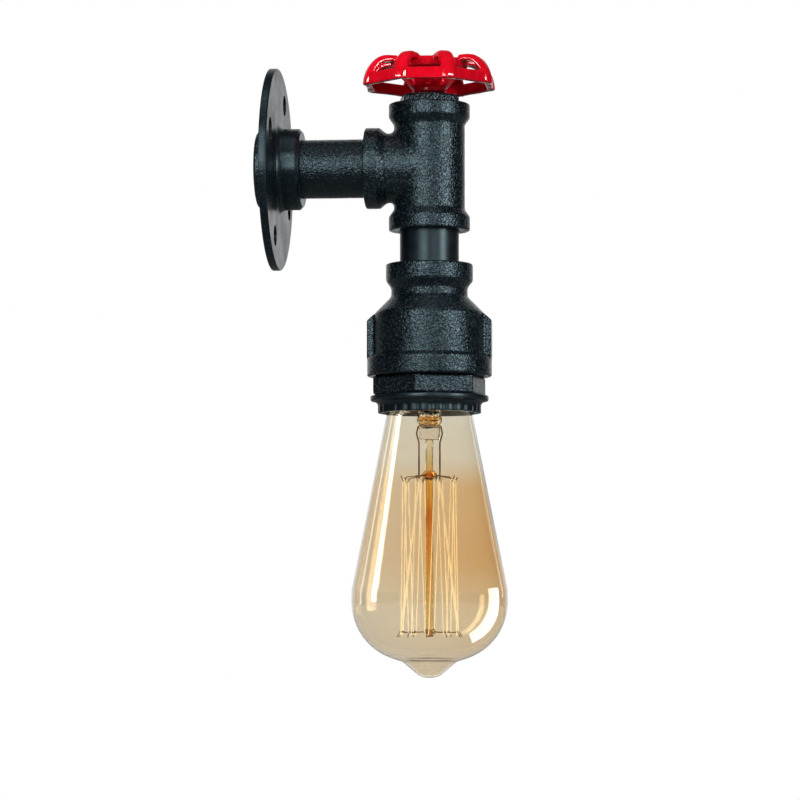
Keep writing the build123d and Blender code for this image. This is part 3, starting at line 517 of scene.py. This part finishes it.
finishes = {
    "wall_flange": flange_black,
    "back_nut": iron_black,
    "arm_nipple": arm_black,
    "tee": iron_black,
    "top_plug": iron_black,
    "drop_nipple": drop_black,
    "reducer": iron_black,
    "hex_adapter": coarse_black,
    "shade_ring": ring_black,
    "holder_shell": shell_black,
    "holder_core": porcelain,
    "screw_shell": rolled_brass,
    "centre_contact": rolled_brass,
    "contact_rivets": rolled_brass,
    "live_terminal": rolled_brass,
    "neutral_terminal": rolled_brass,
    "terminal_screws": zinc_plate,
    "core_screws": zinc_plate,
    "earth_screw": zinc_plate,
    "earth_lug": rolled_brass,
    "terminal_block": white_plastic,
    "block_screws": zinc_plate,
    "live_wire": brown_sleeve,
    "neutral_wire": blue_sleeve,
    "earth_wire": earth_sleeve,
    "handwheel": wheel_enamel,
    "spindle": bright_steel,
    "spindle_clip": bright_steel,
    "wheel_washer": zinc_plate,
    "wheel_nut": zinc_plate,
    "glass_envelope": amber_glass,
    "bulb_cap": rolled_brass,
    "cap_insulator": black_glaze,
    "cap_contact": soft_solder,
    "stem_glass": stem_clear,
    "exhaust_tube": stem_clear,
    "centre_rod": rod_glass,
    "rod_beads": bead_glass,
    "lead_wires": drawn_wire,
    "top_supports": drawn_wire,
    "bottom_supports": drawn_wire,
    "filament": filament_wire,
}
for node, finish in finishes.items():
    slots = nodes[node].data.materials
    slots.clear()
    slots.append(finish)


# ------------------------------------------------------------ mesh helpers
merge_distance = 0.002        # points of a CAD mesh nearer than this are one
pole_radius = 1e-4            # a turned point nearer to the axis than this is a pole


def finished(name, mesh, material, stands_for):
    """An object at the origin that rides on, and stands for, a CAD node."""
    piece = bpy.data.objects.new(name, mesh)
    scene.collection.objects.link(piece)
    mesh.materials.clear()
    mesh.materials.append(material)
    for polygon in mesh.polygons:
        polygon.material_index = 0
        polygon.use_smooth = True
    piece["rides"] = body_of_node[stands_for]
    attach(piece, body_of_node[stands_for])
    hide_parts(stands_for)
    return piece


def plain_mesh(name, draft):
    """A mesh of that name from a draft that is then let go."""
    made = bpy.data.meshes.new(name)
    draft.to_mesh(made)
    draft.free()
    return made


def evaluated_mesh(piece, name):
    """The piece with its modifiers, as a plain mesh."""
    depsgraph = bpy.context.evaluated_depsgraph_get()
    mesh = bpy.data.meshes.new_from_object(piece.evaluated_get(depsgraph))
    mesh.name = name
    return mesh


def merged_copy(node):
    """A CAD node's mesh with its loose triangles joined."""
    draft = bmesh.new()
    draft.from_mesh(nodes[node].data)
    bmesh.ops.remove_doubles(draft, verts=draft.verts, dist=merge_distance * mm)
    return plain_mesh(node + "_merged", draft)


def lift_skin(mesh, lift_at):
    """Moves each point along its normal by the millimetres that lift_at gives there."""
    normals = [vertex.normal.copy() for vertex in mesh.vertices]
    for vertex, normal in zip(mesh.vertices, normals):
        vertex.co += normal * lift_at(vertex.co) * mm


def cast_copy(node, voxel, rounds, lump, height):
    """A CAD node recast: its edges softened and its skin raised in uneven lumps."""
    draft = bpy.data.objects.new(node + "_draft", merged_copy(node))
    scene.collection.objects.link(draft)
    remesh = draft.modifiers.new("Remesh", "REMESH")
    remesh.mode = "VOXEL"
    remesh.voxel_size = voxel * mm
    soften = draft.modifiers.new("Soften", "SMOOTH")
    soften.iterations = rounds
    soften.factor = 0.5
    mesh = evaluated_mesh(draft, node + "_cast")
    bpy.data.objects.remove(draft)
    fall_off, finer_by, layers = 1.0, 2.0, 3

    def uneven(place):
        return noise.fractal(place / (lump * mm), fall_off, finer_by, layers) * height

    lift_skin(mesh, uneven)
    return mesh


def grown_copy(node, growth):
    """A CAD node whose whole skin is moved outwards, or inwards for finer wires."""
    mesh = merged_copy(node)
    lift_skin(mesh, lambda place: growth)
    return mesh


def rounded_line(corners, steps):
    """Points along a line whose corners (across, along, rounding) are rounded off."""
    points = []
    last = len(corners) - 1
    for index, (across, along, rounding) in enumerate(corners):
        here = Vector((across, along))
        if index in (0, last) or rounding == 0:
            points.append(here)
            continue
        before = (Vector(corners[index - 1][:2]) - here).normalized()
        after = (Vector(corners[index + 1][:2]) - here).normalized()
        half = before.angle(after) / 2
        reach = rounding / math.tan(half)
        centre = here + (before + after).normalized() * rounding / math.sin(half)
        start = here + before * reach - centre
        turn = start.angle_signed(here + after * reach - centre)
        for step in range(steps + 1):
            angle = -turn * step / steps
            points.append(centre + Vector((
                start.x * math.cos(angle) - start.y * math.sin(angle),
                start.x * math.sin(angle) + start.y * math.cos(angle),
            )))
    return points


def join_rings(draft, one, two):
    """Faces between two rings of points, of which one may be a single pole."""
    count = max(len(one), len(two))
    if count == 1:
        return
    for step in range(count):
        following = (step + 1) % count
        if len(one) == 1:
            corners = (one[0], two[step], two[following])
        elif len(two) == 1:
            corners = (one[step], two[0], one[following])
        else:
            corners = (one[step], two[step], two[following], one[following])
        draft.faces.new(corners)


def turned_mesh(name, outline, segments):
    """A closed outline in (radius, height) millimetres turned about the lamp's axis."""
    draft = bmesh.new()
    rings = []
    for radius, height in outline:
        level = lamp_axis + Vector((0, 0, height * mm))
        if radius < pole_radius:
            rings.append([draft.verts.new(level)])
            continue
        angles = [2 * math.pi * step / segments for step in range(segments)]
        rings.append([
            draft.verts.new(level + Vector((math.cos(angle), math.sin(angle), 0)) * radius * mm)
            for angle in angles
        ])
    for one, two in zip(rings, rings[1:]):
        join_rings(draft, one, two)
    if len(rings[0]) > 1 or len(rings[-1]) > 1:
        join_rings(draft, rings[-1], rings[0])
    bmesh.ops.recalc_face_normals(draft, faces=draft.faces)
    return plain_mesh(name, draft)


def joined_mesh(name, meshes):
    """Several meshes as one, without merging them."""
    draft = bmesh.new()
    for one in meshes:
        draft.from_mesh(one)
    return plain_mesh(name, draft)


# ------------------------------------------------------------ castings
castings = (
    # name, CAD node, voxel, rounds of smoothing, lump size, lump height, finish
    ("tee_casting", "tee", 0.5, 1, 2.4, 0.05, iron_black),
    ("reducer_casting", "reducer", 0.55, 1, 2.4, 0.05, iron_black),
    ("plug_casting", "top_plug", 0.45, 1, 2.0, 0.05, iron_black),
    ("adapter_casting", "hex_adapter", 0.5, 1, 1.8, 0.06, coarse_black),
    ("handwheel_casting", "handwheel", 0.42, 4, 6.0, 0.12, wheel_enamel),
)
for name, node, voxel, rounds, lump, height, finish in castings:
    finished(name, cast_copy(node, voxel, rounds, lump, height), finish, node)


# ------------------------------------------------------------ the ring's flutes
def fluted_tree():
    """Presses flutes into a turned ring, all the way round."""
    tree = bpy.data.node_groups.new("fluted_ring", "GeometryNodeTree")
    face = tree.interface
    sockets = (
        ("Geometry", "Geometry"),
        ("Flutes", "Float"),
        ("Depth", "Float"),
        ("Highest", "Float"),
        ("Fade", "Float"),
        ("Sharpness", "Float"),
        ("Inner Limit", "Float"),
        ("Material", "Material"),
    )
    for label, kind in sockets:
        face.new_socket(label, in_out="INPUT", socket_type="NodeSocket" + kind)
    face.new_socket("Geometry", in_out="OUTPUT", socket_type="NodeSocketGeometry")
    entry = add_node(tree, "NodeGroupInput").outputs
    place = add_node(tree, "GeometryNodeInputPosition").outputs["Position"]
    from_axis = add_node(
        tree, "ShaderNodeVectorMath", {0: place, 1: lamp_axis}, operation="SUBTRACT",
    ).outputs[0]
    parts = add_node(tree, "ShaderNodeSeparateXYZ", {0: from_axis}).outputs

    angle = maths(tree, "ARCTAN2", parts["Y"], parts["X"])
    half_turns = maths(tree, "MULTIPLY", maths(tree, "MULTIPLY", angle, entry["Flutes"]), 0.5)
    wave = maths(tree, "ABSOLUTE", maths(tree, "SINE", half_turns))
    groove = maths(tree, "SUBTRACT", 1.0, maths(tree, "POWER", wave, entry["Sharpness"]))
    drop = maths(tree, "SUBTRACT", entry["Highest"], parts["Z"])
    below = maths(tree, "MAXIMUM", maths(tree, "DIVIDE", drop, entry["Fade"]), 0.0)
    amount = maths(tree, "MULTIPLY", groove, maths(tree, "MINIMUM", below, 1.0))

    flat = add_node(tree, "ShaderNodeCombineXYZ", {"X": parts["X"], "Y": parts["Y"]}).outputs[0]
    radius = add_node(
        tree, "ShaderNodeVectorMath", {0: flat}, operation="LENGTH",
    ).outputs["Value"]
    outside = maths(tree, "GREATER_THAN", radius, entry["Inner Limit"])
    pressed_in = maths(tree, "MULTIPLY", maths(tree, "MULTIPLY", amount, entry["Depth"]), outside)
    shrink = maths(tree, "MULTIPLY", maths(tree, "DIVIDE", pressed_in, radius), -1.0)
    offset = add_node(
        tree, "ShaderNodeVectorMath", {0: flat, "Scale": shrink}, operation="SCALE",
    ).outputs[0]
    pressed = add_node(
        tree, "GeometryNodeSetPosition", {"Geometry": entry["Geometry"], "Offset": offset},
    ).outputs[0]
    real = add_node(tree, "GeometryNodeRealizeInstances", {"Geometry": pressed}).outputs[0]
    painted = add_node(
        tree, "GeometryNodeSetMaterial", {"Geometry": real, "Material": entry["Material"]},
    ).outputs[0]
    add_node(tree, "NodeGroupOutput", {"Geometry": painted})
    return tree


def set_tree_inputs(modifier, values):
    """Sets a tree's inputs by their identifiers."""
    for item in modifier.node_group.interface.items_tree:
        if item.in_out == "INPUT" and item.name in values:
            modifier[item.identifier] = values[item.name]


def with_rows(line, spacing):
    """The line with points added so that none are much further apart than the spacing."""
    rows = []
    for one, two in zip(line, line[1:]):
        pieces = int((two - one).length / spacing)
        rows.append(one)
        rows += [one.lerp(two, step / pieces) for step in range(1, pieces)]
    return rows + [line[-1]]


ring_outline = with_rows(rounded_line(ring_corners, steps=6), ring_row_spacing)
ring_turned = turned_mesh("ring_turned", ring_outline, flute_count * points_per_flute)
ring_draft = bpy.data.objects.new("ring_draft", ring_turned)
scene.collection.objects.link(ring_draft)
fluting = ring_draft.modifiers.new("Fluting", "NODES")
fluting.node_group = fluted_tree()
set_tree_inputs(fluting, {
    "Flutes": float(flute_count),
    "Depth": flute_depth * mm,
    "Highest": (ring_lip_bottom - flute_start) * mm,
    "Fade": flute_fade * mm,
    "Sharpness": flute_sharpness,
    "Inner Limit": (ring_recess + flute_wall) * mm,
    "Material": ring_black,
})
ring_mesh = evaluated_mesh(ring_draft, "shade_ring_fluted")
bpy.data.objects.remove(ring_draft)
finished("shade_ring_fluted", ring_mesh, ring_black, "shade_ring")


# ------------------------------------------------------------ bulb glass
def moved_inwards(line, distance):
    """A line of points moved towards the lamp's axis by the distance."""
    moved = []
    for index, point in enumerate(line):
        before = line[max(index - 1, 0)]
        after = line[min(index + 1, len(line) - 1)]
        along = (after - before).normalized()
        moved.append(point + Vector((along.y, -along.x)) * distance)
    return moved


glass_line = [(glass_neck_radius, cap_rim + glass_neck_rise, 0), (glass_neck_radius, cap_rim, 0)]
glass_line += [(radius, cap_rim - drop, rounding) for radius, drop, rounding in glass_corners]
glass_line += [(0.0, cap_rim - glass_length, 0)]
glass_outside = rounded_line(glass_line, steps=14)
glass_inside = moved_inwards(glass_outside, glass_wall)[:-1]
glass_inside = [point for point in glass_inside if point.x > least_inner_radius]
glass_inside.append(Vector((0.0, cap_rim - glass_length + glass_wall)))
glass_mesh = turned_mesh("bulb_glass", glass_outside + glass_inside[::-1], glass_segments)
finished("bulb_glass", glass_mesh, amber_glass, "glass_envelope")


# ------------------------------------------------------------ stem, beads, rod and wires
def press_mesh():
    """The stem's pressed end: an oval bar, pinched in the middle, with uneven faces."""
    draft = bmesh.new()
    rings = []
    for row in range(press_rows + 1):
        down = row / press_rows
        thin_end = max(0.0, (down - press_thin_from) / (1 - press_thin_from)) ** 2
        narrow_end = max(0.0, (down - press_narrow_from) / (1 - press_narrow_from)) ** 2
        swell = 1 - press_pinch * math.sin(math.pi * down) - press_end_pinch * thin_end
        taper = 1 - press_end_narrowing * narrow_end
        ring = []
        for step in range(press_segments):
            angle = 2 * math.pi * step / press_segments
            across, deep = math.cos(angle), math.sin(angle)
            bar_across = math.copysign(abs(across) ** press_square_across, across)
            bar_deep = math.copysign(abs(deep) ** press_square_deep, deep)
            point = Vector((
                press_width / 2 * bar_across * taper,
                press_thickness / 2 * bar_deep * swell,
                press_top + (press_bottom - press_top) * down,
            ))
            lump = press_lump * noise.noise(point / press_lump_size)
            point.y += math.copysign(lump, deep)
            ring.append(draft.verts.new(lamp_axis + point * mm))
        rings.append(ring)
    for one, two in zip(rings, rings[1:]):
        join_rings(draft, one, two)
    draft.faces.new(rings[0])
    draft.faces.new(rings[-1][::-1])
    bmesh.ops.recalc_face_normals(draft, faces=draft.faces)
    return plain_mesh("stem_press", draft)


def bead_outline(high, low, widest):
    """A melted bead round the rod: narrow ends and a wide, rounded girdle."""
    girdle = high - (high - low) * bead_girdle_share
    corners = (               # radius, height, rounding
        (bead_waist, high, 0),
        (bead_waist + bead_top_step, high, 0.2),
        (widest, girdle, 0.7),
        (bead_waist + bead_bottom_step, low, 0.3),
        (bead_waist, low, 0),
    )
    return rounded_line(corners, steps=5)


stem_outline = rounded_line(stem_outside_corners, steps=5)
stem_outline += rounded_line(stem_inside_corners, steps=5)
stem_tube = turned_mesh("stem_tube", stem_outline, stem_segments)
stem_mesh = joined_mesh("stem_fused", [stem_tube, press_mesh()])
finished("stem_fused", stem_mesh, stem_fused, "stem_glass")

beads = [
    turned_mesh("top_bead", bead_outline(high=-137.6, low=-141.7, widest=3.6), rod_segments),
    turned_mesh("bottom_bead", bead_outline(high=-208.7, low=-211.6, widest=2.8), rod_segments),
]
finished("melted_beads", joined_mesh("melted_beads", beads), bead_glass, "rod_beads")

finer_wires = (
    ("thin_top_supports", "top_supports", finer_hooks, drawn_wire),
    ("thin_bottom_supports", "bottom_supports", finer_hooks, drawn_wire),
    ("thin_filament", "filament", finer_filament, filament_wire),
)
for name, node, growth, finish in finer_wires:
    finished(name, grown_copy(node, growth), finish, node)

# The rod has rows of points along it, so that its shading stays level from end to end.
side_length = rod_top - rod_bottom - 2 * rod_edge
rod_outline = [(0.0, rod_top), (rod_radius - rod_edge, rod_top)]
rod_outline += [
    (rod_radius, rod_top - rod_edge - side_length * row / rod_rows)
    for row in range(rod_rows + 1)
]
rod_outline += [(rod_radius - rod_edge, rod_bottom), (0.0, rod_bottom)]
rod_mesh = turned_mesh("drawn_rod", rod_outline, rod_segments)
finished("drawn_rod", rod_mesh, rod_glass, "centre_rod")


# ------------------------------------------------------------ backdrop
def studio_world():
    """A white backdrop behind the object and a dim room round the camera."""
    world = bpy.data.worlds.new("studio")
    world.use_nodes = True
    tree = world.node_tree
    background = tree.nodes["Background"]
    path = add_node(tree, "ShaderNodeLightPath").outputs
    way = add_node(tree, "ShaderNodeTexCoord").outputs["Generated"]
    ahead = add_node(
        tree, "ShaderNodeVectorMath", {0: way, 1: -outward}, operation="DOT_PRODUCT",
    ).outputs["Value"]
    upwards = add_node(tree, "ShaderNodeSeparateXYZ", {"Vector": way}).outputs["Z"]
    reflected = scaled(tree, ahead, low=0.03, high=0.85, start=0.72, end=0.98)
    refracted = scaled(tree, ahead, low=0.05, high=1.0, start=0.6, end=0.97)
    scattered = scaled(tree, upwards, low=0.02, high=0.5, start=0.1, end=0.9)

    def either(choice, no, yes):
        inputs = {"Factor": choice, "A": no, "B": yes}
        return add_node(tree, "ShaderNodeMix", inputs, data_type="FLOAT").outputs["Result"]

    strength = either(path["Is Glossy Ray"], scattered, reflected)
    strength = either(path["Is Transmission Ray"], strength, refracted)
    strength = either(path["Is Camera Ray"], strength, 1.0)
    tree.links.new(strength, background.inputs["Strength"])
    background.inputs["Color"].default_value = (1, 1, 1, 1)
    scene.world = world


def white_floor():
    """A wide pale floor under the light, which keeps its shadow."""
    mesh = bpy.data.meshes.new("floor")
    corners = [(-1, -1), (1, -1), (1, 1), (-1, 1)]
    points = [(x * floor_reach, y * floor_reach, floor_height) for x, y in corners]
    mesh.from_pydata(points, [], [(0, 1, 2, 3)])
    floor = bpy.data.objects.new("floor", mesh)
    scene.collection.objects.link(floor)
    material, tree, shader, place = new_material("floor_paper")
    fibres = mottle(tree, place, size=3.0)
    colour = two_tone(tree, fibres, dark=(0.3, 0.3, 0.3), pale=(0.34, 0.34, 0.34))
    path = add_node(tree, "ShaderNodeLightPath").outputs
    seen = maths(tree, "MAXIMUM", path["Is Camera Ray"], path["Is Transmission Ray"])
    glow = maths(tree, "MULTIPLY", seen, floor_glow)
    connect(tree, shader, {"Base Color": colour, "Emission Strength": glow})
    set_inputs(shader, {
        "Roughness": 0.9,
        "Emission Color": (1, 1, 1, 1),
        "Specular IOR Level": 0.1,
    })
    mesh.materials.append(material)


# ------------------------------------------------------------ lamps
def lit_group(name, body, aim):
    """The pieces that ride on a body, as a group that lamps can be kept to."""
    group = bpy.data.collections.new(name)
    for piece in scene.objects:
        if piece.type == "MESH" and piece.get("rides", body_of_node.get(piece.name)) == body:
            group.objects.link(piece)
    return {"pieces": group, "aim": aim}


def softbox(name, turn, rise, width, height, brightness, lit, distance):
    """An area lamp for some of the pieces, turned to the camera's right and raised."""
    bearing = camera_azimuth + math.radians(turn)
    lift = math.radians(rise)
    towards = Vector((
        math.sin(bearing) * math.cos(lift),
        -math.cos(bearing) * math.cos(lift),
        math.sin(lift),
    ))
    lamp = bpy.data.lights.new(name, "AREA")
    lamp.shape = "RECTANGLE"
    lamp.size = 2 * distance * math.tan(math.radians(width / 2))
    lamp.size_y = 2 * distance * math.tan(math.radians(height / 2))
    lamp.energy = brightness * math.pi * lamp.size * lamp.size_y
    holder = bpy.data.objects.new(name, lamp)
    scene.collection.objects.link(holder)
    holder.location = lit["aim"] + towards * distance
    holder.rotation_euler = towards.to_track_quat("Z", "Y").to_euler()
    holder.light_linking.receiver_collection = lit["pieces"]


studio_world()
metalwork = lit_group("metalwork", "fixture", lamp_axis)
wheel = lit_group("wheel", "handwheel", wheel_middle)
lamp_glass = lit_group("lamp_glass", "bulb", bulb_middle)
far, near = 1.1, 0.35         # metres from what a lamp is aimed at
lamps = (
    # name, turn, rise, width and height in degrees, brightness, what it lights, distance
    ("key_left", -23, 9, 26, 24, 3.5, metalwork, far),
    ("key_right", 54, 9, 20, 24, 5.6, metalwork, far),
    ("key_front", 18, 8, 18, 20, 1.7, metalwork, far),
    ("key_high", -12, 31, 14, 7, 8.5, metalwork, far),
    ("overhead", 0, 75, 36, 36, 0.5, metalwork, far),
    ("wheel_key", -50, 13, 24, 8, 32.0, wheel, far),
    ("wheel_side", 32, 15, 18, 8, 36.0, wheel, far),
    ("wheel_line", -16, -12, 10, 4, 12.0, wheel, far),
    ("strip_left", -90, 25, 11, 56, 9.0, lamp_glass, far),
    ("rim_left", -122, 8, 5, 24, 2.5, lamp_glass, far),
    ("patch_right", 106, -22, 27, 60, 8.0, lamp_glass, near),
    ("rim_right", 135, 10, 4, 20, 1.5, lamp_glass, far),
)
for lamp_row in lamps:
    softbox(*lamp_row)
white_floor()

# ------------------------------------------------------------ camera
lens = bpy.data.cameras.new("camera")
lens.lens = camera_lens
lens.sensor_width = camera_sensor
camera = bpy.data.objects.new("camera", lens)
scene.collection.objects.link(camera)
camera.location = camera_target + outward * camera_distance
camera.rotation_euler = outward.to_track_quat("Z", "Y").to_euler()
scene.camera = camera
scene.view_settings.view_transform = "Standard"
